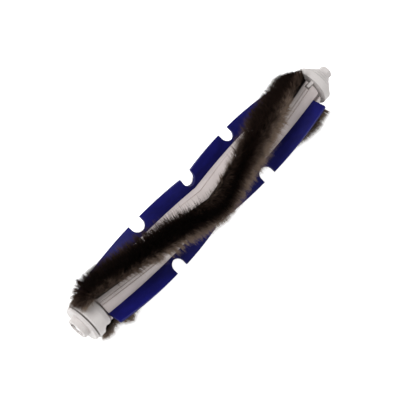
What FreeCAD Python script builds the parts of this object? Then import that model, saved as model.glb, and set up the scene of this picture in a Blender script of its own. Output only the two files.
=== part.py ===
import FreeCAD, Part
import os
import Sketcher

Vector = FreeCAD.Vector

# Driving sizes in millimetres and degrees, measured from the bearing boss face along the roller
SIZES = (
    ("overall_length", 180.0, "boss face to drive tip"),
    ("boss_radius", 5.64, "bearing boss that sits in the machine"),
    ("boss_length", 3.0, "bearing boss ahead of the collar"),
    ("boss_recess_radius", 4.0, "round recess in the boss face"),
    ("boss_recess_depth", 1.6, "depth of that recess"),
    ("recess_slot", 0.7, "width of the slots in the recess wall"),
    ("collar_radius", 9.8, "still collar beside the drum"),
    ("collar_thick", 1.45, "collar thickness"),
    ("hair_gap", 0.8, "running gap between collar and drum"),
    ("hub_radius", 4.5, "hub of the bearing cap inside the drum"),
    ("hub_reach", 3.0, "hub length past the collar"),
    ("hub_clear", 0.6, "radial room round the hub"),
    ("bush_radius", 3.0, "outside of the plain bush"),
    ("bush_proud", 0.15, "bush end beyond the hub"),
    ("run_clear", 0.03, "radial running clearance of pin in bush"),
    ("axial_play", 0.1, "end play at the thrust washer"),
    ("washer_thick", 0.5, "thrust washer thickness"),
    ("washer_radius", 4.2, "thrust washer outside radius"),
    ("pin_radius", 1.5, "steel axle pin"),
    ("pin_start", 0.5, "outer end of the pin below the boss face"),
    ("pin_end", 24.0, "inner end of the pin"),
    ("nut_radius", 3.2, "push nut outside radius"),
    ("nut_thick", 0.25, "push nut sheet thickness"),
    ("nut_at", 0.8, "push nut inner lip from the boss face"),
    ("nut_dish", 0.2, "dish of the push nut"),
    ("drum_radius", 10.3, "end drum"),
    ("drum_length", 5.7, "full-width part of the drum"),
    ("shoulder_radius", 9.5, "step of the drum beside the core"),
    ("shoulder_length", 2.3, "length of that step"),
    ("end_gap", 1.3, "gap between drum and core"),
    ("spigot_radius", 4.95, "plug of the drum and cone inside the core"),
    ("spigot_length", 13.5, "length of the plugs"),
    ("edge_break", 0.3, "small chamfer on moulded edges"),
    ("core_radius", 8.4, "outside of the core"),
    ("core_bore", 5.0, "bore of the core"),
    ("apex_shift", 2.65, "point of the V ahead of the middle of the core"),
    ("helix_pitch", 347.0, "advance of the strips in one whole turn"),
    ("strip_angle", 229.7, "angle of the first blade at the point of the V"),
    ("slot_floor", 6.2, "bottom of the slots"),
    ("slot_head", 2.1, "half width of the slots at the bottom"),
    ("slot_neck", 1.2, "half width between the lips"),
    ("slot_clear", 0.06, "clearance of the strips in their slots"),
    ("blade_radius", 16.0, "blade tip"),
    ("blade_short", 4.35, "bare core between the blade and the drive end"),
    ("blade_tip", 0.7, "half thickness at the blade tip"),
    ("notch_half", 3.5, "half width of the blade notches"),
    ("notch_floor", 10.1, "radius of the bottom of the notches"),
    ("notch_step", 31.66, "distance between the notches"),
    ("rail_half", 3.6, "half width of the pile backing"),
    ("rail_thick", 0.5, "thickness of the pile backing"),
    ("pile_radius", 16.0, "top of the pile"),
    ("pile_half", 7.2, "half width of the pile at its widest"),
    ("plate_gap", 0.1, "pile backing above the core"),
    ("pile_seat", 0.02, "pile above its backing"),
    ("pile_overhang", 4.7, "pile beyond the core, over the drum"),
    ("pile_gap", 0.4, "bare core at the other end of the pile"),
    ("scallop_length", 4.7, "cut-out in the drum for the pile end"),
    ("scallop_half", 8.6, "half width of that cut-out"),
    ("scallop_floor", 5.5, "bottom of that cut-out from the axis"),
    ("scallop_corner", 2.2, "corner radius of that cut-out"),
    ("scallop_angle", 64.0, "middle of the cut-out past its blade"),
    ("tooth_radius", 1.2, "rounded tooth beside each cut-out"),
    ("tooth_angle", 12.0, "tooth past its blade"),
    ("line_half", 0.35, "half width of the fine V grooves in the core"),
    ("line_depth", 0.45, "depth of those grooves"),
    ("window_angle", 278.0, "angle of the first key window in the core"),
    ("window_half", 1.25, "half width of the key windows"),
    ("window_length", 3.0, "length of the key windows"),
    ("window_clear", 0.4, "key below the surface of the core"),
    ("key_half", 0.75, "half width of the keys of the cone cap"),
    ("key_reach", 3.9, "length of the keys"),
    ("flange_gap", 1.9, "gap between core and flange"),
    ("flange_radius", 9.8, "flange of the cone cap"),
    ("flange_thick", 3.6, "flange thickness"),
    ("cone_length", 5.85, "stepped cone between flange and tip"),
    ("cone_first", 7.9, "radius of the first step of the cone"),
    ("cone_second", 6.1, "radius of the second step"),
    ("cone_third", 4.4, "radius of the third step"),
    ("cone_land", 0.5, "length of each step"),
    ("tip_radius", 3.55, "six-sided drive tip across its corners, half"),
    ("tip_length", 3.5, "length of the drive tip"),
    ("tip_chamfer", 0.7, "chamfer on the end of the tip"),
)


# A size keeps its number and its sheet formula side by side
class Size:
    def __init__(self, value, text):
        self.value = value
        self.text = text

    def join(self, other, sign, result):
        return Size(result, f"({self.text} {sign} {as_size(other).text})")

    def __add__(self, other):
        return self.join(other, "+", self.value + as_size(other).value)

    def __sub__(self, other):
        return self.join(other, "-", self.value - as_size(other).value)

    def __mul__(self, other):
        return self.join(other, "*", self.value * as_size(other).value)

    def __truediv__(self, other):
        return self.join(other, "/", self.value / as_size(other).value)

    def __neg__(self):
        return Size(-self.value, f"(0 - {self.text})")


def as_size(number):
    if isinstance(number, Size):
        return number
    return Size(float(number), repr(float(number)))


doc = FreeCAD.newDocument("roller_brush")
sheet = doc.addObject("Spreadsheet::Sheet", "sizes")
size = {}
for row, (alias, value, note) in enumerate(SIZES, start=1):
    sheet.set(f"A{row}", note)
    sheet.set(f"B{row}", str(value))
    sheet.setAlias(f"B{row}", alias)
    size[alias] = Size(value, f"sizes.{alias}")


# Sizes that follow from others keep a row of their own in the sheet
def follow(alias, amount, note):
    row = len(size) + 1
    sheet.set(f"A{row}", note)
    sheet.set(f"B{row}", "=" + amount.text.replace("sizes.", ""))
    sheet.setAlias(f"B{row}", alias)
    size[alias] = Size(amount.value, f"sizes.{alias}")
    return size[alias]


doc.recompute()

# Stations along the roller
collar_at = size["boss_length"]
groove_at = collar_at + size["collar_thick"]
drum_at = groove_at + size["hair_gap"]
shoulder_at = drum_at + size["drum_length"]
drum_end = shoulder_at + size["shoulder_length"]
core_at = drum_end + size["end_gap"]
tip_at = size["overall_length"] - size["tip_length"]
cone_at = tip_at - size["cone_length"]
flange_at = cone_at - size["flange_thick"]
core_end = flange_at - size["flange_gap"]
core_length = follow("core_length", core_end - core_at, "core end to end")
apex_at = follow("apex_at", core_at + core_length / 2 - size["apex_shift"], "point of the V from the boss face")
blade_reach = follow("blade_reach", core_end - size["blade_short"] - apex_at, "blade from the V to the drive end")
scallop_at = drum_end - size["scallop_length"]
pile_at = core_at - size["pile_overhang"]
hub_end = groove_at + size["hub_reach"]
bush_end = hub_end + size["bush_proud"]
washer_at = bush_end + size["axial_play"]
washer_end = washer_at + size["washer_thick"]
doc.recompute()


def bind(item, name, amount):
    amount = as_size(amount)
    item.setExpression(name, amount.text)


def turn_to(item, angle, height=0):
    item.Placement = FreeCAD.Placement(Vector(0, 0, 0), FreeCAD.Rotation(Vector(0, 0, 1), 1))
    bind(item, "Placement.Rotation.Angle", angle)
    bind(item, "Placement.Base.z", height)


# Closed outlines whose corners follow the sheet
def outline(sketch, corners):
    corners = [(as_size(across), as_size(along)) for across, along in corners]
    points = [Vector(across.value, along.value, 0) for across, along in corners]
    count = len(points)
    for index in range(count):
        sketch.addGeometry(Part.LineSegment(points[index], points[(index + 1) % count]), False)
    for index in range(count):
        sketch.addConstraint(Sketcher.Constraint("Coincident", index, 2, (index + 1) % count, 1))
    for index, corner in enumerate(corners):
        for kind, axis, amount in (("DistanceX", -2, corner[0]), ("DistanceY", -1, corner[1])):
            if amount.value == 0:
                sketch.addConstraint(Sketcher.Constraint("PointOnObject", index, 1, axis))
                continue
            place = sketch.addConstraint(Sketcher.Constraint(kind, index, 1, amount.value))
            label = f"{kind}_{index}"
            sketch.renameConstraint(place, label)
            bind(sketch, f"Constraints.{label}", amount)


# Turned and moulded round pieces
def turned(name, corners):
    body = doc.addObject("PartDesign::Body", f"{name}_body")
    sketch = body.newObject("Sketcher::SketchObject", f"{name}_profile")
    plane = [item for item in body.Origin.OriginFeatures if item.Role == "XZ_Plane"][0]
    sketch.AttachmentSupport = [(plane, "")]
    sketch.MapMode = "FlatFace"
    outline(sketch, corners)
    spin = body.newObject("PartDesign::Revolution", f"{name}_turn")
    spin.Profile = sketch
    spin.ReferenceAxis = (sketch, ["V_Axis"])
    spin.Angle = 360
    body.Tip = spin
    return body


# A strip section carried along a screw path both ways from the point of the V
def chevron(name, corners, angle, toward_cone, toward_boss):
    section = doc.addObject("Sketcher::SketchObject", f"{name}_section")
    outline(section, corners)
    halves = []
    for side, reach in (("cone_side", toward_cone), ("boss_side", toward_boss)):
        path = doc.addObject("Part::Helix", f"{name}_{side}_path")
        path.LocalCoord = 1
        bind(path, "Radius", size["core_radius"])
        bind(path, "Pitch", size["helix_pitch"])
        bind(path, "Height", reach)
        half = doc.addObject("Part::Sweep", f"{name}_{side}")
        half.Sections = [section]
        half.Spine = (path, ["Edge1"])
        half.Solid = True
        half.Frenet = True
        halves.append(half)
    flipped = doc.addObject("Part::Mirroring", f"{name}_boss_side_flipped")
    flipped.Source = halves[1]
    flipped.Normal = Vector(0, 0, 1)
    whole = doc.addObject("Part::MultiFuse", f"{name}_whole")
    whole.Shapes = [halves[0], flipped]
    turn_to(whole, angle, apex_at)
    return whole


def fused(name, shapes):
    whole = doc.addObject("Part::MultiFuse", name)
    whole.Shapes = shapes
    return whole


def cut(name, base, tool):
    rest = doc.addObject("Part::Cut", name)
    rest.Base = base
    rest.Tool = tool
    return rest


# A box set out from the axis: radial reach, half width and span along the roller
def block(name, inner, outer, half, start, end, angle, corner=None):
    box = doc.addObject("Part::Box", f"{name}_box")
    bind(box, "Length", outer - inner)
    bind(box, "Width", half * 2)
    bind(box, "Height", end - start)
    bind(box, "Placement.Base.x", inner)
    bind(box, "Placement.Base.y", -half)
    solid = box
    if corner:
        doc.recompute()
        solid = doc.addObject("Part::Fillet", f"{name}_rounded")
        solid.Base = box
        solid.Edges = [(number, corner.value, corner.value)
                       for number, line in enumerate(box.Shape.Edges, start=1)
                       if line.BoundBox.XLength > line.BoundBox.DiagonalLength * 0.99
                       and line.BoundBox.ZMax < half.value * 0.01]
    return placed(name, solid, angle, start)


# A round peg that points out from the axis
def peg(name, inner, outer, radius, height, angle):
    rod = doc.addObject("Part::Cylinder", f"{name}_rod")
    rod.Placement = FreeCAD.Placement(Vector(0, 0, 0), FreeCAD.Rotation(Vector(0, 1, 0), 90))
    bind(rod, "Radius", radius)
    bind(rod, "Height", outer - inner)
    bind(rod, "Placement.Base.x", inner)
    return placed(name, rod, angle, height)


def placed(name, solid, angle, height):
    holder = doc.addObject("Part::Compound", name)
    holder.Links = [solid]
    turn_to(holder, angle, height)
    return holder


finals = []


# Lay a finished piece down along Y with the middle of the roller at the origin
def finish(item, label):
    item.Label = label
    item.Placement = FreeCAD.Placement(Vector(0, 0, 0), FreeCAD.Rotation(Vector(1, 0, 0), -90))
    bind(item, "Placement.Base.y", -size["overall_length"] / 2)
    finals.append(item)


edge = size["edge_break"]

# Bearing cap: collar, boss and hub in one moulding
cap_blank = turned("bearing_cap", [
    (size["boss_recess_radius"], 0),
    (size["boss_radius"] - edge, 0),
    (size["boss_radius"], edge),
    (size["boss_radius"], collar_at),
    (size["collar_radius"] - edge, collar_at),
    (size["collar_radius"], collar_at + edge),
    (size["collar_radius"], groove_at),
    (size["hub_radius"], groove_at),
    (size["hub_radius"], hub_end),
    (size["bush_radius"], hub_end),
    (size["bush_radius"], size["boss_recess_depth"]),
    (size["boss_recess_radius"], size["boss_recess_depth"]),
])
recess_slots = []
for count in range(6):
    recess_slots.append(block(
        f"recess_slot_{count}", size["boss_recess_radius"] - 0.4, size["boss_recess_radius"] + 0.45,
        size["recess_slot"] / 2, as_size(-1), size["boss_recess_depth"] * 0.9, as_size(30 + 60 * count)))
finish(cut("bearing_cap", cap_blank, fused("recess_slots", recess_slots)), "bearing_cap")

finish(turned("bush", [
    (size["pin_radius"] + size["run_clear"], size["boss_recess_depth"]),
    (size["bush_radius"], size["boss_recess_depth"]),
    (size["bush_radius"], bush_end),
    (size["pin_radius"] + size["run_clear"], bush_end),
]), "bush")

# Axle pin with its retaining nut and thrust washer
finish(turned("axle_pin", [
    (0, size["pin_start"]),
    (size["pin_radius"] - edge, size["pin_start"]),
    (size["pin_radius"], size["pin_start"] + edge),
    (size["pin_radius"], size["pin_end"]),
    (0, size["pin_end"]),
]), "axle_pin")

nut_blank = turned("push_nut", [
    (size["pin_radius"], size["nut_at"]),
    (size["nut_radius"], size["nut_at"] + size["nut_dish"]),
    (size["nut_radius"], size["nut_at"] + size["nut_dish"] + size["nut_thick"]),
    (size["pin_radius"], size["nut_at"] + size["nut_thick"]),
])
nut_slits = []
for count in range(4):
    nut_slits.append(block(
        f"nut_slit_{count}", size["pin_radius"] - 0.4, size["pin_radius"] + 0.9,
        as_size(0.2), as_size(0), size["boss_recess_depth"], as_size(90 * count)))
finish(cut("push_nut", nut_blank, fused("nut_slits", nut_slits)), "push_nut")

finish(turned("thrust_washer", [
    (size["pin_radius"] + 0.1, washer_at),
    (size["washer_radius"], washer_at),
    (size["washer_radius"], washer_end),
    (size["pin_radius"] + 0.1, washer_end),
]), "thrust_washer")

# End drum with its plug, a rounded cut-out for the end of each pile strip and a tooth beside it
drum_blank = turned("drum", [
    (size["pin_radius"], washer_end),
    (size["hub_radius"] + size["hub_clear"], washer_end),
    (size["hub_radius"] + size["hub_clear"], drum_at),
    (size["drum_radius"] - edge, drum_at),
    (size["drum_radius"], drum_at + edge),
    (size["drum_radius"], shoulder_at),
    (size["shoulder_radius"], drum_end),
    (size["spigot_radius"], drum_end),
    (size["spigot_radius"], drum_end + size["spigot_length"]),
    (0, drum_end + size["spigot_length"]),
    (0, size["pin_end"]),
    (size["pin_radius"], size["pin_end"]),
])


def strip_angle_at(first, height):
    return first - (apex_at - height) * 360 / size["helix_pitch"]


scallops = []
teeth = []
for count in range(2):
    blade_angle = strip_angle_at(size["strip_angle"] + 180 * count, drum_end)
    scallops.append(block(
        f"scallop_{count}", size["scallop_floor"], size["drum_radius"] + edge, size["scallop_half"],
        scallop_at, drum_end + edge, blade_angle + size["scallop_angle"], size["scallop_corner"]))
    teeth.append(peg(
        f"tooth_{count}", size["spigot_radius"] - edge, size["shoulder_radius"] + edge / 2,
        size["tooth_radius"], drum_end - size["tooth_radius"] - edge, blade_angle + size["tooth_angle"]))
drum_open = cut("drum_open", drum_blank, fused("scallops", scallops))
finish(fused("drum", [drum_open] + teeth), "drum")

# Core tube with four V-shaped dovetail slots, fine V grooves and two key windows at the cone end
core_blank = turned("core", [
    (size["core_bore"], core_at),
    (size["core_radius"], core_at),
    (size["core_radius"], core_end),
    (size["core_bore"], core_end),
])


def mirrored(one_side):
    return one_side + [(across, -half) for across, half in reversed(one_side)]


slot_slope = (size["slot_head"] - size["slot_neck"]) / (size["core_radius"] - size["slot_floor"])
slot_section = mirrored([
    (size["slot_floor"], -size["slot_head"]),
    (size["core_radius"] + edge, -(size["slot_neck"] - slot_slope * edge)),
])
line_section = [
    (size["core_radius"] - size["line_depth"], 0),
    (size["core_radius"] + size["line_depth"], size["line_half"] * 2),
    (size["core_radius"] + size["line_depth"], -size["line_half"] * 2),
]
core_reaches = (core_end - apex_at + edge, apex_at - core_at + edge)
openings = []
for count in range(4):
    openings.append(chevron(f"slot_{count}", slot_section, size["strip_angle"] + 90 * count, *core_reaches))
for count, past_blade in enumerate((32, 125, 136, 212, 305, 316)):
    openings.append(chevron(f"line_{count}", line_section, size["strip_angle"] + past_blade, *core_reaches))
for count in range(2):
    openings.append(block(
        f"window_{count}", size["core_bore"] - edge, size["core_radius"] + edge, size["window_half"],
        core_end - size["window_length"], core_end + edge, size["window_angle"] + 180 * count))
finish(cut("core", core_blank, fused("core_openings", openings)), "core")

# Rubber blades with their dovetail root
clear = size["slot_clear"]
root = [
    (size["slot_floor"] + clear, -(size["slot_head"] - clear * 2)),
    (size["core_radius"], -(size["slot_neck"] - clear)),
]
blade_section = mirrored(root + [(size["blade_radius"], -size["blade_tip"])])
for count, letter in enumerate("ab"):
    angle = size["strip_angle"] + 180 * count
    strip = chevron(f"blade_{letter}", blade_section, angle, blade_reach, apex_at - core_at)
    notches = []
    for place in (-1, 0, 1):
        floor_centre = size["notch_floor"] + size["notch_half"]
        mouth = doc.addObject("Part::Box", f"notch_mouth_{letter}_{place + 1}")
        bind(mouth, "Length", size["blade_radius"])
        bind(mouth, "Width", size["blade_radius"])
        bind(mouth, "Height", size["notch_half"] * 2)
        bind(mouth, "Placement.Base.x", floor_centre)
        bind(mouth, "Placement.Base.y", -size["blade_radius"] / 2)
        bind(mouth, "Placement.Base.z", -size["notch_half"])
        bottom = doc.addObject("Part::Cylinder", f"notch_bottom_{letter}_{place + 1}")
        bottom.Placement = FreeCAD.Placement(Vector(0, 0, 0), FreeCAD.Rotation(Vector(1, 0, 0), -90))
        bind(bottom, "Radius", size["notch_half"])
        bind(bottom, "Height", size["blade_radius"])
        bind(bottom, "Placement.Base.x", floor_centre)
        bind(bottom, "Placement.Base.y", -size["blade_radius"] / 2)
        notch = fused(f"notch_{letter}_{place + 1}", [mouth, bottom])
        turn_to(notch, angle - size["notch_step"] * abs(place) * 360 / size["helix_pitch"],
                apex_at + size["notch_step"] * place)
        notches.append(notch)
    finish(cut(f"blade_{letter}", strip, fused(f"notches_{letter}", notches)), f"blade_{letter}")

# Pile strips on their backing rails; the pile runs on over the drum
plate_at = size["core_radius"] + size["plate_gap"]
plate_top = plate_at + size["rail_thick"]
rail_section = mirrored([
    root[0],
    (plate_at, root[1][1]),
    (plate_at, -size["rail_half"]),
    (plate_top, -size["rail_half"]),
])
pile_base = plate_top + size["pile_seat"]
pile_rise = size["pile_radius"] - pile_base
pile_section = mirrored([
    (pile_base, -size["rail_half"]),
    (pile_base + pile_rise * 0.35, -size["pile_half"] * 0.92),
    (pile_base + pile_rise * 0.7, -size["pile_half"]),
    (size["pile_radius"], -size["pile_half"] * 0.5),
])
strip_end = core_end - apex_at - size["pile_gap"]
for count, letter in enumerate("ab"):
    angle = size["strip_angle"] + 90 + 180 * count
    for name, section, start in (("pile_rail", rail_section, core_at), ("pile", pile_section, pile_at)):
        strip = doc.addObject("Part::Refine", f"{name}_{letter}")
        strip.Source = chevron(f"{name}_{letter}_strip", section, angle, strip_end, apex_at - start)
        finish(strip, f"{name}_{letter}")

# Cone cap: plug, flange, stepped cone, six-sided tip and two keys in one moulding
cone_run = size["cone_length"] / 3
cone_profile = [
    (0, flange_at - size["spigot_length"]),
    (size["spigot_radius"], flange_at - size["spigot_length"]),
    (size["spigot_radius"], flange_at),
    (size["flange_radius"], flange_at),
    (size["flange_radius"], cone_at),
]
for count, step in enumerate(("cone_first", "cone_second", "cone_third"), start=1):
    land_end = cone_at + cone_run * count
    cone_profile.append((size[step], land_end - size["cone_land"]))
    cone_profile.append((size[step], land_end))
cone_profile.append((0, tip_at))
cone_blank = turned("cone_cap", cone_profile)
tip_limit = turned("tip_limit", [
    (0, tip_at - 1),
    (size["tip_radius"], tip_at - 1),
    (size["tip_radius"], size["overall_length"] - size["tip_chamfer"]),
    (size["tip_radius"] - size["tip_chamfer"], size["overall_length"]),
    (0, size["overall_length"]),
])
prism = doc.addObject("Part::Prism", "tip_prism")
prism.Polygon = 6
bind(prism, "Circumradius", size["tip_radius"])
bind(prism, "Height", size["tip_length"] + 1)
bind(prism, "Placement.Base.z", tip_at - 1)
tip = doc.addObject("Part::Common", "drive_tip")
tip.Base = prism
tip.Tool = tip_limit
cone_pieces = [cone_blank, tip]
for count in range(2):
    cone_pieces.append(block(
        f"key_{count}", size["spigot_radius"] - 0.5, size["core_radius"] - size["window_clear"], size["key_half"],
        flange_at - size["key_reach"], flange_at + 0.5, size["window_angle"] + 180 * count))
finish(fused("cone_cap", cone_pieces), "cone_cap")

doc.recompute()

# Check every object, then write one file for each piece
for item in doc.Objects:
    if "Invalid" in item.State or "Error" in item.State:
        raise RuntimeError(f"{item.Name} did not recompute: {item.State}")

os.makedirs("parts", exist_ok=True)
for item in finals:
    shape = item.Shape
    if shape.isNull() or not shape.isValid():
        raise RuntimeError(f"{item.Label} has no valid shape")
    if len(shape.Solids) != 1:
        raise RuntimeError(f"{item.Label} has {len(shape.Solids)} solids")
    shape.Solids[0].exportStep(f"parts/{item.Label}.step")
    box = shape.BoundBox
    print(item.Label, round(shape.Volume, 1), [round(edge_at, 2) for edge_at in (
        box.XMin, box.XMax, box.YMin, box.YMax, box.ZMin, box.ZMax)])
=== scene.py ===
# %% [markdown]
# A roller brush from a robot vacuum cleaner. A grey moulded core carries two navy rubber blades and two
# brown plush pile strips, each bent into a wide V. This script dresses the CAD part: it keeps the hard
# pieces as they were packed, gives each a finish, and grows the pile as real strands.

# %% Load the part
import math
from collections import namedtuple

import bpy
import numpy as np
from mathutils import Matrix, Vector
from mathutils.kdtree import KDTree


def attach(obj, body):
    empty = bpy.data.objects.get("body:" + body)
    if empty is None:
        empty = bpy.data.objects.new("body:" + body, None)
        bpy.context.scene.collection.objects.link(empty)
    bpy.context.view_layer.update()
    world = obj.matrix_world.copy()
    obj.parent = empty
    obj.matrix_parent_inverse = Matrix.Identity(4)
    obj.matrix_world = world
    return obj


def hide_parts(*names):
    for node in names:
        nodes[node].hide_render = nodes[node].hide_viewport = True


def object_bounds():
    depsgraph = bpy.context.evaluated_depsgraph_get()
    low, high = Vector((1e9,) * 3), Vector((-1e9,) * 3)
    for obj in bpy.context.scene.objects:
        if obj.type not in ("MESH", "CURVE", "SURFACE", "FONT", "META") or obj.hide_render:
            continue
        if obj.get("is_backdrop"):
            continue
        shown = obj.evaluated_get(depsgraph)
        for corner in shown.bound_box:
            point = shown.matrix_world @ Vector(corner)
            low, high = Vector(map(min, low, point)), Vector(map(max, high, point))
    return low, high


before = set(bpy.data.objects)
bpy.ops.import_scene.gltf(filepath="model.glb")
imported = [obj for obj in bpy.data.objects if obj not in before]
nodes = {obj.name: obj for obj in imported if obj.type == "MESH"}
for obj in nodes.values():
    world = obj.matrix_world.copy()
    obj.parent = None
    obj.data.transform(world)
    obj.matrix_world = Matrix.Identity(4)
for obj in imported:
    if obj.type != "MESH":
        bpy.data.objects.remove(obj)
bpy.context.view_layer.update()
MM = 0.001

# %% [markdown]
# The strips wind round the core as two opposite screws that meet in a point. The turn could be read from
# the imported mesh, but a formula is shorter: the angle grows evenly with the distance from the point. One
# small function then gives the direction of a strip at any place along the roller.

# %% The twist of the strips
APEX_Y = -2.8
MM_PER_TURN = 347.0
BLADE_ANGLE = 40.3
PILE_ANGLES = {"a": BLADE_ANGLE - 90.0, "b": BLADE_ANGLE + 90.0}


def strip_directions(first_angle, along):
    """Outward and sideways unit vectors of a strip at places along the roller, in mm."""
    turn = np.radians(first_angle + 360.0 / MM_PER_TURN * np.abs(along - APEX_Y))
    flat = np.zeros_like(turn)
    outward = np.stack([-np.sin(turn), flat, np.cos(turn)], axis=-1)
    sideways = np.stack([-np.cos(turn), flat, -np.sin(turn)], axis=-1)
    return outward, sideways


print("a strip turns by", round(360.0 / MM_PER_TURN, 3), "degrees in each mm")

# %% [markdown]
# Every finish is a small tree of shader nodes. The trees could be wired by hand in the editor, but a script
# makes the same one every time. The steps that repeat are adding a node, setting its values, starting a
# material and making a ramp of colours, so each gets a helper.

# %% Helpers for materials


def add_node(tree, kind, place=(0, 0), **settings):
    made = tree.nodes.new(kind)
    made.location = place
    for name, value in settings.items():
        setattr(made, name, value)
    return made


def set_inputs(node, values):
    for label, value in values.items():
        node.inputs[label].default_value = value


def new_material(name):
    material = bpy.data.materials.new(name)
    material.use_nodes = True
    tree = material.node_tree
    tree.nodes.clear()
    shader = add_node(tree, "ShaderNodeBsdfPrincipled", (300, 0))
    out = add_node(tree, "ShaderNodeOutputMaterial", (600, 0))
    tree.links.new(shader.outputs["BSDF"], out.inputs["Surface"])
    return material, tree, shader


def colour_ramp(tree, place, stops):
    """A ramp node with a colour at each of a few positions from 0 to 1."""
    made = add_node(tree, "ShaderNodeValToRGB", place)
    elements = made.color_ramp.elements
    while len(elements) < len(stops):
        elements.new(0.5)
    for element, (position, colour) in zip(elements, stops):
        element.position = position
        element.color = (*colour, 1)
    return made


print("helpers for nodes, materials and ramps are ready")

# %% [markdown]
# A moulded surface is never quite even: the melt cools in faint clouds, and the skin of the mould leaves
# pores. Two noise textures in object coordinates give both, so that the pattern turns with the roller. Most
# of the materials need them, so they form a node group. It is built once, and each material that places it
# sets its own scales.

# %% Grain group: clouding and pores of a moulded surface
CLOUD_DETAIL, PORE_DETAIL = 4.0, 3.0
grain = bpy.data.node_groups.new("moulded grain", "ShaderNodeTree")
for label, scale in (("Cloud Scale", 90.0), ("Pore Scale", 2600.0)):
    socket = grain.interface.new_socket(label, in_out="INPUT", socket_type="NodeSocketFloat")
    socket.default_value = scale
for label in ("Cloud", "Pores"):
    grain.interface.new_socket(label, in_out="OUTPUT", socket_type="NodeSocketFloat")
grain_in = add_node(grain, "NodeGroupInput", (-900, 0))
grain_out = add_node(grain, "NodeGroupOutput", (500, 0))
grain_place = add_node(grain, "ShaderNodeTexCoord", (-900, 300))
cloud = add_node(grain, "ShaderNodeTexNoise", (-500, 200))
pores = add_node(grain, "ShaderNodeTexNoise", (-500, -200))
for noise, label, detail in ((cloud, "Cloud", CLOUD_DETAIL), (pores, "Pore", PORE_DETAIL)):
    set_inputs(noise, {"Detail": detail})
    grain.links.new(grain_place.outputs["Object"], noise.inputs["Vector"])
    grain.links.new(grain_in.outputs[f"{label} Scale"], noise.inputs["Scale"])
grain.links.new(cloud.outputs["Fac"], grain_out.inputs["Cloud"])
grain.links.new(pores.outputs["Fac"], grain_out.inputs["Pores"])
print("group", grain.name, "puts out", [item.name for item in grain_out.inputs if item.name])

# %% [markdown]
# Clouds and pores do their work in two ways. Where the clouds drift, the gloss drifts with them, and the
# pores raise a shallow bump that takes the mirror edge off the highlights. Real dents would need millions of
# faces, so a bump is the better way for marks this small. The shader itself stays in the material, where
# the export can read it.

# %% Helpers for gloss and bump


def place_grain(tree, cloud_scale, pore_scale):
    made = add_node(tree, "ShaderNodeGroup", (-700, 0))
    made.node_tree = grain
    set_inputs(made, {"Cloud Scale": cloud_scale, "Pore Scale": pore_scale})
    return made


def waver_gloss(tree, shader, texture, roughness, spread):
    gloss = add_node(tree, "ShaderNodeMapRange", (-350, -100))
    set_inputs(gloss, {"To Min": roughness - spread, "To Max": roughness + spread})
    tree.links.new(texture.outputs["Cloud"], gloss.inputs["Value"])
    tree.links.new(gloss.outputs["Result"], shader.inputs["Roughness"])


def pore_bump(tree, shader, texture, strength, depth):
    bump = add_node(tree, "ShaderNodeBump", (0, -250))
    set_inputs(bump, {"Strength": strength, "Distance": depth})
    tree.links.new(texture.outputs["Pores"], bump.inputs["Height"])
    tree.links.new(bump.outputs["Normal"], shader.inputs["Normal"])


print("helpers for grain are ready")

# %% [markdown]
# Moulded plastic. The core is a warm light grey and the end pieces are nearly white. A flat colour would
# do from far off, but close by the colour of a moulding drifts a little, so it follows the clouds between a
# lighter and a darker tone.

# %% Moulded plastics
CLOUD_DARK_AT, CLOUD_LIGHT_AT = 0.36, 0.64
MOULD_GLOSS_SPREAD = 0.07
MOULD_BUMP = 0.35


def moulded_plastic(name, light, dark, roughness, pore_depth):
    material, tree, shader = new_material(name)
    texture = place_grain(tree, cloud_scale=110.0, pore_scale=3200.0)
    colour = colour_ramp(tree, (-350, 150), ((CLOUD_DARK_AT, dark), (CLOUD_LIGHT_AT, light)))
    tree.links.new(texture.outputs["Cloud"], colour.inputs["Fac"])
    tree.links.new(colour.outputs["Color"], shader.inputs["Base Color"])
    waver_gloss(tree, shader, texture, roughness, MOULD_GLOSS_SPREAD)
    pore_bump(tree, shader, texture, MOULD_BUMP, pore_depth)
    return material


core_plastic = moulded_plastic("core plastic", light=(0.60, 0.535, 0.52), dark=(0.53, 0.47, 0.455),
                               roughness=0.46, pore_depth=0.04 * MM)
cap_plastic = moulded_plastic("cap plastic", light=(0.66, 0.625, 0.61), dark=(0.59, 0.555, 0.54),
                              roughness=0.42, pore_depth=0.03 * MM)
print("plastics", core_plastic.name, cap_plastic.name)

# %% [markdown]
# The blades are navy rubber with faint streaks along the strip. Their colour is painted darkest where they
# leave the core, as painted shade from the core and the pile beside them, and paler towards the wiping edge.
# The distance from the roller's axis is the length of the object coordinates with the lengthwise one set to
# nothing. It is mixed with a noise that is stretched along the roller. A Mix node has sockets for every kind
# of data, so the ones for plain numbers are named here.

# %% Painted shade by height, and streaks of the blades
BLADE_ROOT, BLADE_EDGE = 8.5 * MM, 16.8 * MM
STREAK_STRETCH = 0.3
STREAK_SHARE = 0.6
MIX_FACTOR, MIX_NUMBER_A, MIX_NUMBER_B, MIX_NUMBER_OUT = 0, 2, 3, 0
rubber, tree, shader = new_material("blade rubber")
place = add_node(tree, "ShaderNodeTexCoord", (-1500, 0))
round_part = add_node(tree, "ShaderNodeVectorMath", (-1250, 200), operation="MULTIPLY")
round_part.inputs[1].default_value = (1, 0, 1)
from_axis = add_node(tree, "ShaderNodeVectorMath", (-1000, 200), operation="LENGTH")
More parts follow.
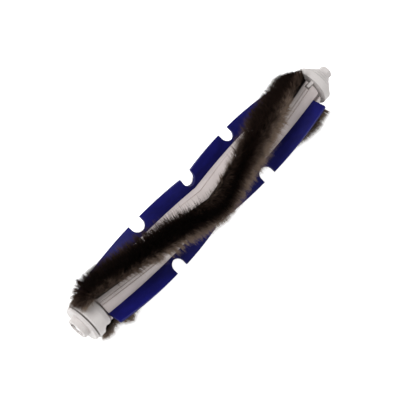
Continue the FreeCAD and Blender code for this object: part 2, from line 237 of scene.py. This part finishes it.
# Painted shade: the rubber is drawn darker near the core, where the core and the pile keep light off.
shade_by_height = add_node(tree, "ShaderNodeMapRange", (-800, 200))
set_inputs(shade_by_height, {"From Min": BLADE_ROOT, "From Max": BLADE_EDGE})
stretch = add_node(tree, "ShaderNodeVectorMath", (-1250, -100), operation="MULTIPLY")
stretch.inputs[1].default_value = (1, STREAK_STRETCH, 1)
streaks = add_node(tree, "ShaderNodeTexNoise", (-1000, -100))
set_inputs(streaks, {"Scale": 480.0, "Detail": 3.0})
both = add_node(tree, "ShaderNodeMix", (-600, 100), data_type="FLOAT")
both.inputs[MIX_FACTOR].default_value = STREAK_SHARE
tree.links.new(place.outputs["Object"], round_part.inputs[0])
tree.links.new(place.outputs["Object"], stretch.inputs[0])
tree.links.new(round_part.outputs["Vector"], from_axis.inputs[0])
tree.links.new(from_axis.outputs["Value"], shade_by_height.inputs["Value"])
tree.links.new(stretch.outputs["Vector"], streaks.inputs["Vector"])
tree.links.new(shade_by_height.outputs["Result"], both.inputs[MIX_NUMBER_A])
tree.links.new(streaks.outputs["Fac"], both.inputs[MIX_NUMBER_B])
print("rubber from", round(BLADE_ROOT / MM, 1), "to", round(BLADE_EDGE / MM, 1), "mm from the axis")

# %% [markdown]
# The mix picks a colour between two navies. Rubber like this is dull, so little light is mirrored, and the
# pores that the mouldings have break up what is left of it.

# %% Colour and skin of the blades
NAVY_DARK, NAVY_LIGHT = (0.0028, 0.0028, 0.060), (0.0070, 0.0072, 0.135)
RUBBER_BUMP = 0.3
navy = colour_ramp(tree, (-350, 150), ((0.28, NAVY_DARK), (0.78, NAVY_LIGHT)))
tree.links.new(both.outputs[MIX_NUMBER_OUT], navy.inputs["Fac"])
tree.links.new(navy.outputs["Color"], shader.inputs["Base Color"])
set_inputs(shader, {"Roughness": 0.5, "Specular IOR Level": 0.12})
skin = place_grain(tree, cloud_scale=160.0, pore_scale=4200.0)
pore_bump(tree, shader, skin, RUBBER_BUMP, 0.04 * MM)
print("rubber", rubber.name, "made of", len(tree.nodes), "nodes")

# %% [markdown]
# The small pieces in the bearing hardly show: a steel pin with its push nut, a bronze bush, a white washer,
# and the dark rails that hold the pile. Each needs one colour and a gloss that wavers, so one function
# makes them all.

# %% Small metal and dark pieces


def plain_finish(name, colour, metallic, roughness, spread):
    material, tree, shader = new_material(name)
    set_inputs(shader, {"Base Color": (*colour, 1), "Metallic": metallic})
    texture = place_grain(tree, cloud_scale=700.0, pore_scale=5000.0)
    waver_gloss(tree, shader, texture, roughness, spread)
    return material


steel = plain_finish("turned steel", (0.66, 0.66, 0.66), metallic=1.0, roughness=0.38, spread=0.1)
bronze = plain_finish("bush bronze", (0.62, 0.42, 0.20), metallic=1.0, roughness=0.42, spread=0.1)
washer_plastic = plain_finish("washer plastic", (0.80, 0.80, 0.78), metallic=0.0, roughness=0.35, spread=0.05)
rail_plastic = plain_finish("rail plastic", (0.010, 0.007, 0.006), metallic=0.0, roughness=0.6, spread=0.1)
print("small finishes", steel.name, bronze.name, washer_plastic.name, rail_plastic.name)

# %% [markdown]
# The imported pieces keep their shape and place, and only their material slot changes. A dictionary from
# node to finish shows at a glance which pieces share one. The two pile solids are missing from it because
# strands take their place further on.

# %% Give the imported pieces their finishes
FINISHES = {
    "bearing_cap": cap_plastic, "drum": cap_plastic, "cone_cap": cap_plastic, "core": core_plastic,
    "blade_a": rubber, "blade_b": rubber, "pile_rail_a": rail_plastic, "pile_rail_b": rail_plastic,
    "axle_pin": steel, "push_nut": steel, "bush": bronze, "thrust_washer": washer_plastic,
}
for name, material in FINISHES.items():
    nodes[name].data.materials.clear()
    nodes[name].data.materials.append(material)
print("dressed", len(FINISHES), "packed pieces")

# %% [markdown]
# The fibres are dyed dark brown. The black deep in the pile, where no light gets in, is painted shade, and
# the pale fibres that stick out at the edges are painted light. Two values are stored on every strand for
# this material: how far along the strand a point lies, and how light that strand is. A ramp turns the second
# into the colour of the tip, and the first blends that colour in from the root, which is painted near black
# as shade. For colours the Mix node has sockets of its own.

# %% Fibre finish
# Painted shade: the root is near black, darker than the dye, for the depth of the pile where no light gets
# in.
ROOT_SHADE_COLOUR = (0.0015, 0.0010, 0.0008)
# The dark start of this ramp is painted shade for strands deep in the strip, and its pale end is painted
# light for strands at the edges.
FIBRE_STOPS = (
    (0.0, (0.0022, 0.0014, 0.0011)),
    (0.35, (0.026, 0.0145, 0.011)),
    (0.65, (0.115, 0.078, 0.060)),
    (1.0, (0.36, 0.27, 0.21)),
)
MIX_COLOUR_A, MIX_COLOUR_B, MIX_COLOUR_OUT = 6, 7, 2
fibre, tree, shader = new_material("pile fibre")
along_strand = add_node(tree, "ShaderNodeAttribute", (-900, 150), attribute_name="along")
# This attribute is the strand's own tone with painted light and shade added.
tone_and_painted_light = add_node(tree, "ShaderNodeAttribute", (-900, -150), attribute_name="tone_and_painted_light")
tip_colour = colour_ramp(tree, (-650, -150), FIBRE_STOPS)
root_shade_fade = add_node(tree, "ShaderNodeMapRange", (-650, 200))
set_inputs(root_shade_fade, {"From Min": 0.1, "From Max": 0.95})
blend = add_node(tree, "ShaderNodeMix", (-250, 50), data_type="RGBA")
blend.inputs[MIX_COLOUR_A].default_value = (*ROOT_SHADE_COLOUR, 1)
tree.links.new(tone_and_painted_light.outputs["Fac"], tip_colour.inputs["Fac"])
tree.links.new(along_strand.outputs["Fac"], root_shade_fade.inputs["Value"])
tree.links.new(root_shade_fade.outputs["Result"], blend.inputs[MIX_FACTOR])
tree.links.new(tip_colour.outputs["Color"], blend.inputs[MIX_COLOUR_B])
tree.links.new(blend.outputs[MIX_COLOUR_OUT], shader.inputs["Base Color"])
set_inputs(shader, {"Roughness": 0.8, "Specular IOR Level": 0.03})
print("fibre", fibre.name, "with", len(FIBRE_STOPS), "colours")

# %% [markdown]
# On the real brush thousands of soft fibres stand in a woven strip. Hair particles would be one way, but
# plain mesh strands can be exported, measured and turned with the roller, so they are used here. The ends
# of the strip are read from the plain pile solid. Roots are scattered over the strip with a fixed seed, and
# some at the edges are strays, which will splay wide. Every root also knows how near a cut end it stands.

# %% Scatter the roots
pile_points = np.array([corner.co for corner in nodes["pile_a"].data.vertices]) / MM
END_MARGIN = 0.15
PILE_LOW = pile_points[:, 1].min() + END_MARGIN
PILE_HIGH = pile_points[:, 1].max() - END_MARGIN
LOW_END_RUN, HIGH_END_RUN = 6.0, 8.0
STRANDS = 19000
STRAY_SHARE, STRAY_TRAILING, STRAY_FROM = 0.16, 0.6, 0.7
Roots = namedtuple("Roots", "along across stray low_end high_end")


def scatter(random, low, high):
    """Roots between two places along the roller, in mm, and across from -1, trailing, to 1, leading."""
    along = random.uniform(low, high, STRANDS)
    across = random.uniform(-1.0, 1.0, STRANDS)
    stray = random.random(STRANDS) < STRAY_SHARE
    stray_side = np.where(random.random(STRANDS) < STRAY_TRAILING, -1.0, 1.0)
    across = np.where(stray, stray_side * random.uniform(STRAY_FROM, 1.0, STRANDS), across)
    low_end = np.clip((PILE_LOW + LOW_END_RUN - along) / LOW_END_RUN, 0, 1)
    high_end = np.clip((along - PILE_HIGH + HIGH_END_RUN) / HIGH_END_RUN, 0, 1)
    return Roots(along, across, stray, low_end, high_end)


trial_roots = scatter(np.random.default_rng(1), PILE_LOW, PILE_HIGH)
print("pile from", round(PILE_LOW, 1), "to", round(PILE_HIGH, 1), "mm along the roller,",
      int(trial_roots.stray.sum()), "strays in a trial")

# %% [markdown]
# Soft fibres cling together. Each strand belongs to the nearest of many small tufts and leans with it, which
# gives the mottled plush. Comparing every strand with every tuft would take much memory, so Blender's
# KDTree, which sorts points by their place, finds the nearest one.

# %% Gather the strands in tufts
ROOT_HALF = 3.5
TUFTS_PER_MM = 20
TUFT_LEAN = 0.11
LOW_END_CALM = 0.85
Tufts = namedtuple("Tufts", "along across side_lean ahead_lean shade")


def gather(random, low, high, roots):
    """The tuft of each strand: its place, its leans in radians and its shade."""
    count = int((high - low) * TUFTS_PER_MM)
    place = np.stack([random.uniform(low, high, count), random.uniform(-1.0, 1.0, count)], axis=1)
    lean = random.normal(0.0, TUFT_LEAN, (count, 2))
    shade = random.uniform(0.0, 1.0, count)
    tree = KDTree(count)
    for index, (along, across) in enumerate(place):
        tree.insert((along, across * ROOT_HALF, 0.0), index)
    tree.balance()
    spots = zip(roots.along, roots.across * ROOT_HALF)
    nearest = np.array([tree.find((along, aside, 0.0))[1] for along, aside in spots])
    lean = lean[nearest] * (1 - LOW_END_CALM * roots.low_end)[:, None]
    return Tufts(place[nearest, 0], place[nearest, 1], lean[:, 0], lean[:, 1], shade[nearest])


print("tufts in a strip", int((PILE_HIGH - PILE_LOW) * TUFTS_PER_MM))

# %% [markdown]
# The lower strip carries the weight of the roller. The point of its V lies pressed flat, its far part is
# squeezed out past the blade, and beside the drum a tuft slips past the blade while the cut-out of the drum
# holds its neighbours back. On both strips a fringe of strays lies over the core near the point. Combing
# each by hand would be lost whenever the strands change, so each is a share from 0 to 1 along the roller.
# Most are a hump, one smooth rise and fall.

# %% Where the strips are pressed, squeezed and frayed
LOADED = {"a": 0.0, "b": 1.0}
PRESS_WIDTH = 10.0
SQUEEZE_PLACES = (44, 53, 60, 66, 74)
SQUEEZE_SHARES = (0, 0.35, 0.85, 0.9, 0.6)
SLIP_PLACE, SLIP_WIDTH = -67.5, 3.0
HOLD_PLACE, HOLD_WIDTH = -73.0, 3.5
FRINGE_PLACE, FRINGE_WIDTH = 9.0, 13.0


def hump(along, centre, width):
    return np.exp(-((along - centre) / width) ** 2)


def pressed(letter, roots):
    return LOADED[letter] * hump(roots.along, APEX_Y, PRESS_WIDTH)


def squeezed(letter, roots):
    return LOADED[letter] * np.interp(roots.along, SQUEEZE_PLACES, SQUEEZE_SHARES)


def slipped(letter, roots):
    return LOADED[letter] * hump(roots.along, SLIP_PLACE, SLIP_WIDTH)


def held_back(letter, roots):
    return LOADED[letter] * hump(roots.along, HOLD_PLACE, HOLD_WIDTH)


def fringed(roots):
    return np.where(roots.stray & (roots.across > 0), hump(roots.along, FRINGE_PLACE, FRINGE_WIDTH), 0.0)


print("squeezed out most at", SQUEEZE_PLACES[int(np.argmax(SQUEEZE_SHARES))], "mm along the roller")

# %% [markdown]
# Seen along the roller, a strand leans sideways by its splay. The edges of a strip splay over the core, and
# towards the middle the splay fades to nothing. How far each edge goes changes along the roller, so two
# short lists give it at a few places, and straight runs join them. A negative value turns
# the edge inwards.

# %% Splay of the edges
LEAD_PLACES = (-72, -62, -52, -42, -28, -10, 4, 14, 28, 38, 46, 56)
LEAD_SPREADS = (0.52, 0.42, 0.34, 0.38, 0.50, -0.08, -0.20, 0.08, 0.45, 0.88, 0.96, 0.60)
TRAIL_PLACES = (-75, -60, -42, -20, -4, 4, 14, 25, 50, 60)
TRAIL_SPREADS = (0.40, 0.42, 0.50, 0.60, 0.86, 0.88, 0.68, 0.78, 0.63, 0.30)
LEAD_LOW_DROP, LEAD_HIGH_DROP, TRAIL_HIGH_DROP = 0.55, 0.2, 0.3
LEAD_SQUEEZE, LEAD_SLIP, LEAD_HOLD = 0.62, 0.40, 0.75
EDGE_POWER = 0.75


def edge_splay(letter, roots):
    """Splay in radians that each strand takes from the edge on its side of the strip."""
    lead = np.interp(roots.along, LEAD_PLACES, LEAD_SPREADS)
    lead -= LEAD_LOW_DROP * roots.low_end + LEAD_HIGH_DROP * roots.high_end
    lead += LEAD_SQUEEZE * squeezed(letter, roots) + LEAD_SLIP * slipped(letter, roots)
    lead -= LEAD_HOLD * held_back(letter, roots)
    trail = np.interp(roots.along, TRAIL_PLACES, TRAIL_SPREADS) - TRAIL_HIGH_DROP * roots.high_end
    return np.where(roots.across > 0, lead, -trail) * np.abs(roots.across) ** EDGE_POWER


for letter in PILE_ANGLES:
    widest = np.abs(edge_splay(letter, trial_roots)).max()
    print("strip", letter, "splays by up to", round(math.degrees(widest)), "degrees in the trial")

# %% [markdown]
# On top of the splay of the edges comes what each strand does by itself. Strays lie wider than the rest,
# some strands of the leading edge are loose, the tuft adds its lean, and no two strands are quite alike.
# The far part of a strip leans to the leading side as a whole, and the low end of the upper strip to the
# trailing side. Random draws from one seeded source keep the result the same in every run.

# %% Splay of the strands
FAR_LEAN, FAR_START, FAR_RUN = 0.30, 45.0, 30.0
LOW_END_TURN = 0.78
STRAY_LEAST, STRAY_MOST = 0.10, 0.42
LOOSE_FROM, LOOSE_SHARE = 0.5, 0.35
LOOSE_SPREAD, FIRM_SPREAD = 0.418, 0.11
UNEVEN = 0.09
PRESS_SPLAY, SLIP_SPLAY, FRINGE_SPLAY = 1.2, 0.38, 0.55


def strand_splay(random, letter, roots, tuft):
    """Lean of each strand across the strip, in radians."""
    splay = edge_splay(letter, roots)
    splay += FAR_LEAN * np.clip((roots.along - FAR_START) / FAR_RUN, 0, 1)
    splay -= LOW_END_TURN * roots.low_end * (1 - LOADED[letter])
    wide = roots.across * random.uniform(STRAY_LEAST, STRAY_MOST, STRANDS)
    splay += np.where(roots.stray, wide * (1 - roots.high_end - roots.low_end), 0.0)
    spread = np.where(random.random(STRANDS) < LOOSE_SHARE, LOOSE_SPREAD, FIRM_SPREAD)
    loose = np.abs(random.normal(0, 1, STRANDS)) * spread * (1 - roots.low_end)
    splay += np.where(roots.across > LOOSE_FROM, loose, 0.0)
    splay += tuft.side_lean + random.normal(0, UNEVEN, STRANDS)
    splay += PRESS_SPLAY * pressed(letter, roots) + SLIP_SPLAY * slipped(letter, roots)
    return splay + FRINGE_SPLAY * fringed(roots)


print("strays splay by", STRAY_LEAST, "to", STRAY_MOST, "radians more at the very edge")

# %% [markdown]
# A strand also leans along the roller, most of all at the cut ends of a strip, where it has no neighbour to
# hold it up. Near the point of the V, where the two halves of the strip meet, the lean is more uneven.

# %% Lean along the roller
LOW_LEAN = {"a": 1.1, "b": 0.62}
HIGH_LEAN = {"a": 0.1, "b": 0.45}
POINT_UNEVEN, POINT_WIDTH = 2.0, 5.0


def strand_tilt(random, letter, roots, tuft):
    """Lean of each strand along the roller, in radians, positive towards the cone."""
    uneven = 1 + POINT_UNEVEN * hump(roots.along, APEX_Y, POINT_WIDTH)
    tilt = tuft.ahead_lean + random.normal(0, UNEVEN, STRANDS) * uneven
    return tilt + roots.high_end * HIGH_LEAN[letter] - roots.low_end * LOW_LEAN[letter]


print("lean at the low ends", LOW_LEAN, "and at the high ends", HIGH_LEAN)

# %% [markdown]
# The pile is cut to one length, but it doesn't look so everywhere. Strands at the edges reach a little
# farther, those at the far end are shorter, the squeezed part stands out and the pressed point is flat.
# The lengths could be painted as weights, but a formula follows the strip when its ends move.

# %% Length of the strands
LENGTH, LENGTH_SPREAD = 8.0, 0.3
EDGE_EXTRA, STRAY_EXTRA = 0.8, 1.2
LOW_EXTRA = {"a": 1.8, "b": -1.6}
HIGH_TRIM = 2.4
HIGH_LEAD_TRIM = {"a": 2.6, "b": 0.0}
LEAD_TRIM_FROM = -0.4
SQUEEZE_EXTRA, SLIP_EXTRA, HOLD_TRIM = 2.1, 1.0, 2.2
PRESS_TRIM, FRINGE_TRIM = 0.6, 0.45
LEAD_FROM = 0.2


def strand_length(random, letter, roots):
    """Length of each strand, in mm."""
    length = random.normal(LENGTH, LENGTH_SPREAD, STRANDS) + EDGE_EXTRA * np.abs(roots.across)
    lead_trim = HIGH_LEAD_TRIM[letter] * np.clip(roots.across - LEAD_TRIM_FROM, 0, 1)
    length += LOW_EXTRA[letter] * roots.low_end - (HIGH_TRIM + lead_trim) * roots.high_end
    length += SQUEEZE_EXTRA * squeezed(letter, roots) * (roots.across > LEAD_FROM)
    length += SLIP_EXTRA * slipped(letter, roots) - HOLD_TRIM * held_back(letter, roots)
    length += np.where(roots.stray, random.uniform(0.0, STRAY_EXTRA, STRANDS), 0.0)
    length *= 1 - PRESS_TRIM * pressed(letter, roots) * (roots.across < LEAD_FROM)
    return length * (1 - FRINGE_TRIM * fringed(roots))


for letter in PILE_ANGLES:
    trial_lengths = strand_length(np.random.default_rng(1), letter, trial_roots)
    print("strip", letter, "middle length", round(float(np.median(trial_lengths)), 2), "mm in the trial")

# %% [markdown]
# The tone says how light a strand is, and most of it is painted light and shade. Strands in the middle of the
# strip are drawn dark as painted shade from their neighbours, a little browner in the far half. Those at both
# edges are drawn pale as painted light, most of all on the trailing side, and the place where that pale edge
# starts wanders along the strip. Short lists say where. Lamps alone would not do it, because real fibres let
# light through and these strands are solid.

# %% Painted light on the edges
# Painted light: where and how strongly each edge of the strip is drawn paler.
PALE_PLACES = (-75, -55, -30, 0, 15, 40, 54, 64)
PALE_STARTS = (-0.42, -0.45, -0.25, -0.25, 0.0, 0.40, 0.30, -0.40)
PALE_LEVELS = (0.55, 0.75, 1.25, 1.1, 1.1, 1.0, 0.9, 0.35)
LEAD_PALE_PLACES = (-75, -20, 10, 28, 38, 52, 60)
LEAD_PALE_LEVELS = (0.32, 0.32, 0.58, 0.40, 0.10, 0.12, 0.30)
LEAD_LIGHT = {"a": 0.0, "b": 0.45}
LEAD_PALE_FROM = 0.5
LEAD_FADE, TRAIL_FADE = 1.5, 1.3


def edge_painted_light(letter, roots):
    """Painted light that each strand gets from standing near an edge of the strip."""
    lead_share = np.clip((roots.across - LEAD_PALE_FROM) / (1 - LEAD_PALE_FROM), 0, 1)
    lead_level = np.interp(roots.along, LEAD_PALE_PLACES, LEAD_PALE_LEVELS) + LEAD_LIGHT[letter]
    start = np.interp(roots.along, PALE_PLACES, PALE_STARTS)
    trail_share = np.clip((start - roots.across) / (1 + start), 0, 1)
    trail_level = np.interp(roots.along, PALE_PLACES, PALE_LEVELS)
    return lead_level * lead_share ** LEAD_FADE + trail_level * trail_share ** TRAIL_FADE


print("pale edge starts between", min(PALE_STARTS), "and", max(PALE_STARTS), "across the strip")

# %% [markdown]
# The rest of the tone adds up in the same way: the random tone of the tuft, painted light on strays and the
# fringe, painted light at the cut ends, where light comes in from the side, and on the lower strip beside the
# drum. The sum is held between 0 and 1, the range of the ramp.

# %% Tone and painted light of the strands
BROWN_PLACES = (5, 30, 55, 72)
BROWN_LEVELS = (0.0, 0.13, 0.15, 0.06)
TUFT_LIGHT, TUFT_POWER = 0.12, 3
# Painted light: strays, the fringe, the cut ends and the lower strip beside the drum are drawn paler than the
# dye.
STRAY_LIGHT, FRINGE_LIGHT = 0.18, 0.25
LOW_LIGHT = {"a": 0.60, "b": 0.93}
HIGH_LIGHT = {"a": 0.0, "b": 0.45}
DRUM_LIGHT, DRUM_PLACE, DRUM_WIDTH = 0.60, -70.0, 7.0
TINT_SPREAD = 0.06


def strand_tone_and_painted_light(random, letter, roots, tuft):
    """How light each strand is, from 0 to 1, with painted light added to its own tone."""
    light = np.interp(roots.along, BROWN_PLACES, BROWN_LEVELS) + TUFT_LIGHT * tuft.shade ** TUFT_POWER
    light += edge_painted_light(letter, roots) + STRAY_LIGHT * roots.stray + FRINGE_LIGHT * fringed(roots)
    light += LOW_LIGHT[letter] * roots.low_end + HIGH_LIGHT[letter] * roots.high_end
    light += LOADED[letter] * DRUM_LIGHT * hump(roots.along, DRUM_PLACE, DRUM_WIDTH)
    light += random.normal(0, TINT_SPREAD, STRANDS)
    return np.clip(light, 0, 1)


print("light at the low ends", LOW_LIGHT, "and at the high ends", HIGH_LIGHT)

# %% [markdown]
# A strand runs from its root over one bend to its tip. It leaves the strip steeply and lies over more
# towards the tip, as a soft fibre does under its own spring. The tip is also drawn towards the middle of
# its tuft. A smooth curve would need more points, and at this size one bend looks the same.

# %% Paths of the strands
ROOT_RADIUS = 8.98
BEND_SHARE = 0.55
BEND_LEAN, TIP_LEAN = 0.75, 1.2
SIDE_LIMIT, AHEAD_LIMIT = 1.3, 1.2
TUFT_PULL = 0.25
LENGTHWISE = np.array([0.0, 1.0, 0.0])


def unit(rows):
    return rows / np.linalg.norm(rows, axis=1, keepdims=True)


def strand_paths(letter, low, high, seed):
    """Root, bend and tip of every strand between two places along a pile strip, in mm, and its tone with
    painted light.
    """
    random = np.random.default_rng(seed)
    roots = scatter(random, low, high)
    tuft = gather(random, low, high, roots)
    splay = strand_splay(random, letter, roots, tuft)
    tilt = strand_tilt(random, letter, roots, tuft)
    length = strand_length(random, letter, roots)[:, None]
    outward, sideways = strip_directions(PILE_ANGLES[letter], roots.along)

    def shift(along, across):
        return LENGTHWISE * along[:, None] + sideways * (across * ROOT_HALF)[:, None]

    def heading(share):
        side = np.tan(np.clip(splay * share, -SIDE_LIMIT, SIDE_LIMIT))[:, None]
        ahead = np.tan(np.clip(tilt * share, -AHEAD_LIMIT, AHEAD_LIMIT))[:, None]
        return unit(outward + sideways * side + LENGTHWISE * ahead)

    root = outward * ROOT_RADIUS + shift(roots.along, roots.across)
    bend = root + heading(BEND_LEAN) * length * BEND_SHARE
    tip = bend + heading(TIP_LEAN) * length * (1 - BEND_SHARE)
    tip += shift(tuft.along - roots.along, tuft.across - roots.across) * TUFT_PULL
    return root, bend, tip, strand_tone_and_painted_light(random, letter, roots, tuft)


trial_root, _, trial_tip, _ = strand_paths("a", PILE_LOW, APEX_Y, seed=1)
trial_reach = np.linalg.norm(trial_tip - trial_root, axis=1)
print("middle distance from root to tip", round(float(np.median(trial_reach)), 2), "mm")

# %% [markdown]
# Each strand becomes a three-sided taper: three corners at the root, three at the bend and one point at
# the tip, closed at the root so that the mesh has an inside. Seven points is the least that still bends
# and catches light from every side.

# %% Points of a strand
THICKNESS = 0.18
BEND_THICKNESS = 0.85 * THICKNESS
CORNERS = 3
POINTS = 2 * CORNERS + 1
SLANT = np.array([[0.31, 0.57, 0.76]])


def strand_points(root, bend, tip):
    """All points of the strands, in mm: corners of the root, corners of the bend, tip."""
    spine = unit(tip - root)
    first = unit(np.cross(spine, SLANT))
    second = np.cross(spine, first)
    rings = []
    for centre, width in ((root, THICKNESS), (bend, BEND_THICKNESS)):
        for corner in range(CORNERS):
            turn = corner * math.tau / CORNERS
            rings.append(centre + (first * math.cos(turn) + second * math.sin(turn)) * width / 2)
    return np.stack(rings + [tip], axis=1).reshape(-1, 3)


print("points in a strand", POINTS, "of", THICKNESS, "mm at the root")

# %% [markdown]
# Every strand needs a place of its own in the map named OFBake. The map is a square of small cells, one for
# each strand, and in its cell a strand lies flat, root down and tip up. Its three sides share one place,
# because they have the same colours. Blender could unwrap the strands itself, but with so many faces that is
# slow.

# %% Map of the strands
SIDES = np.array([[0, 1, 4, 3], [1, 2, 5, 4], [2, 0, 3, 5]])
ENDS = np.array([[3, 4, 6], [4, 5, 6], [5, 3, 6], [0, 2, 1]])
SIDE_CELL = [(0.1, 0.2), (0.9, 0.2), (0.9, 0.6), (0.1, 0.6)]
TIP_CELL = [(0.1, 0.6), (0.9, 0.6), (0.5, 0.97)]
ROOT_CELL = [(0.1, 0.03), (0.9, 0.03), (0.5, 0.18)]
SIDE_MAP = np.array([SIDE_CELL] * CORNERS)
END_MAP = np.array([TIP_CELL] * CORNERS + [ROOT_CELL])


def strand_map(count):
    """Map places of all corners of the faces, sides first and ends after."""
    cells = math.ceil(math.sqrt(count))
    index = np.arange(count)
    cell = np.stack([index % cells, index // cells], axis=1)[:, None, None, :]
    return np.concatenate([((part[None] + cell) / cells).reshape(-1) for part in (SIDE_MAP, END_MAP)])


print("triangles in a strand", 2 * len(SIDES) + len(ENDS))

# %% [markdown]
# All strands of a piece go into one mesh, because thousands of objects would be slow. Blender takes the
# points and faces as plain lists, and the two values that the fibre material reads are stored on the points
# as attributes.

# %% Mesh of the strands


def add_object(name, data):
    made = bpy.data.objects.new(name, data)
    bpy.context.scene.collection.objects.link(made)
    return made


def strand_mesh(name, root, bend, tip, light):
    count = len(root)
    base = (np.arange(count) * POINTS)[:, None, None]
    faces = (SIDES[None] + base).reshape(-1, 4).tolist() + (ENDS[None] + base).reshape(-1, 3).tolist()
    mesh = bpy.data.meshes.new(name)
    mesh.from_pydata((strand_points(root, bend, tip) * MM).tolist(), [], faces)
    along = np.tile(np.array([0.0] * CORNERS + [BEND_SHARE] * CORNERS + [1.0]), count)
    # The second attribute holds the painted light and shade of each strand.
    for label, values in (("along", along), ("tone_and_painted_light", np.repeat(light, POINTS))):
        mesh.attributes.new(label, "FLOAT", "POINT").data.foreach_set("value", values.astype(np.float32))
    mesh.uv_layers.new(name="OFBake").data.foreach_set("uv", strand_map(count).astype(np.float32))
    mesh.shade_smooth()
    mesh.materials.append(fibre)
    return add_object(name, mesh)


print("faces in a strand", len(SIDES) + len(ENDS))

# %% [markdown]
# Each strip grows as two pieces that meet at the point of the V, which keeps either mesh to a size that is
# easy to handle. A piece rides on the roller's body, so it turns with the joint, and it stands in for the
# plain pile solid of the CAD part. Every piece has a seed of its own, so that no two look alike.

# %% Grow the four pieces of pile
HALVES = (("near", PILE_LOW, APEX_Y), ("far", APEX_Y, PILE_HIGH))
FIRST_SEED = 11
for letter in PILE_ANGLES:
    for count, (side, low, high) in enumerate(HALVES):
        paths = strand_paths(letter, low, high, FIRST_SEED + 2 * ord(letter) + count)
        plush = strand_mesh(f"plush_{letter}_{side}", *paths)
        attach(plush, "roller")
        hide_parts(f"pile_{letter}")
        print(plush.name, "strands", STRANDS, "faces", len(plush.data.polygons))

# %% [markdown]
# The roller lies on a plain white table. More light would bleach the brush itself, so the floor glows a
# little instead, only for rays that come from the camera, from a reflection or through glass. It still
# carries the soft shadow that shows where the brush touches.

# %% Floor
FLOOR_Z = -17.8 * MM
FLOOR_HALF = 3.0
FLOOR_GLOW = 0.80
FLOOR_CORNERS = ((-1, -1), (1, -1), (1, 1), (-1, 1))
floor_points = [(x * FLOOR_HALF, y * FLOOR_HALF, FLOOR_Z) for x, y in FLOOR_CORNERS]
floor_mesh = bpy.data.meshes.new("floor")
floor_mesh.from_pydata(floor_points, [], [(0, 1, 2, 3)])
floor = add_object("floor", floor_mesh)
floor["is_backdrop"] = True
floor_white, tree, shader = new_material("floor white")
set_inputs(shader, {"Base Color": (0.9, 0.9, 0.9, 1), "Roughness": 0.9, "Specular IOR Level": 0.0})
set_inputs(shader, {"Emission Color": (1, 1, 1, 1)})
rays = add_node(tree, "ShaderNodeLightPath", (-700, -200))
seen = rays.outputs["Is Camera Ray"]
for column, kind in enumerate(("Is Glossy Ray", "Is Transmission Ray")):
    either = add_node(tree, "ShaderNodeMath", (-450 + 200 * column, -200), operation="MAXIMUM")
    tree.links.new(seen, either.inputs[0])
    tree.links.new(rays.outputs[kind], either.inputs[1])
    seen = either.outputs["Value"]
glow = add_node(tree, "ShaderNodeMath", (0, -200), operation="MULTIPLY")
glow.inputs[1].default_value = FLOOR_GLOW
tree.links.new(seen, glow.inputs[0])
tree.links.new(glow.outputs["Value"], shader.inputs["Emission Strength"])
floor_mesh.materials.append(floor_white)
print("floor at", round(FLOOR_Z / MM, 1), "mm")

# %% [markdown]
# A product picture has soft light. An even white world fills the shadows, a wide lamp up on the side of
# the first blade gives the core its bright side, and a weaker one opposite keeps the far side from going
# flat. Both look at the middle of the roller, which is the origin.

# %% World and lamps
WORLD_LEVEL = 0.50
world = bpy.data.worlds.new("studio")
bpy.context.scene.world = world
world.use_nodes = True
set_inputs(world.node_tree.nodes["Background"], {"Color": (1, 1, 1, 1), "Strength": WORLD_LEVEL})


def softbox(name, place, width, power):
    lamp = bpy.data.lights.new(name, "AREA")
    lamp.shape = "DISK"
    lamp.size = width
    lamp.energy = power
    made = add_object(name, lamp)
    made.location = place
    made.rotation_mode = "QUATERNION"
    made.rotation_quaternion = (-Vector(place)).to_track_quat("-Z", "Y")
    return made


key = softbox("key", place=(-0.32, -0.38, 0.74), width=0.5, power=5.6)
fill = softbox("fill", place=(0.75, -0.05, 0.45), width=0.6, power=1.1)
print("lamps", key.name, round(key.data.energy, 1), "W and", fill.name, round(fill.data.energy, 1), "W")

# %% [markdown]
# The camera stands high above the bearing end, turned so that the roller runs from the lower left to the
# upper right. Its distance sets how fast the roller narrows towards the far end, and the lens sets the size
# in the picture. A small shift of the lens puts the roller where it belongs without turning the camera.

# %% Camera
CAMERA_TURN, CAMERA_RISE, CAMERA_DISTANCE = 41.4, 66.1, 0.703
SENSOR_WIDTH, LENS_LENGTH = 36.0, 132.6
SHIFT_RIGHT, SHIFT_UP = -0.0163, -0.0122
turn, rise = math.radians(CAMERA_TURN), math.radians(CAMERA_RISE)
back = Vector((math.sin(turn) * math.cos(rise), -math.cos(turn) * math.cos(rise), math.sin(rise)))
lens = bpy.data.cameras.new("camera")
lens.sensor_width = SENSOR_WIDTH
lens.lens = LENS_LENGTH
lens.shift_x = SHIFT_RIGHT
lens.shift_y = SHIFT_UP
lens.clip_start = 0.01
camera = add_object("camera", lens)
camera.location = back * CAMERA_DISTANCE
camera.rotation_mode = "QUATERNION"
camera.rotation_quaternion = (-back).to_track_quat("-Z", "Y")
bpy.context.scene.camera = camera
bpy.context.scene.view_settings.view_transform = "Standard"
print("camera", [round(v, 3) for v in camera.location])

# %% [markdown]
# Strands may reach a little past the solid they stand in for. The box of the dressed part is printed.

# %% Sizes and end
low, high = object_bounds()
print("visual box in mm", [round((b - a) / MM, 1) for a, b in zip(low, high)])
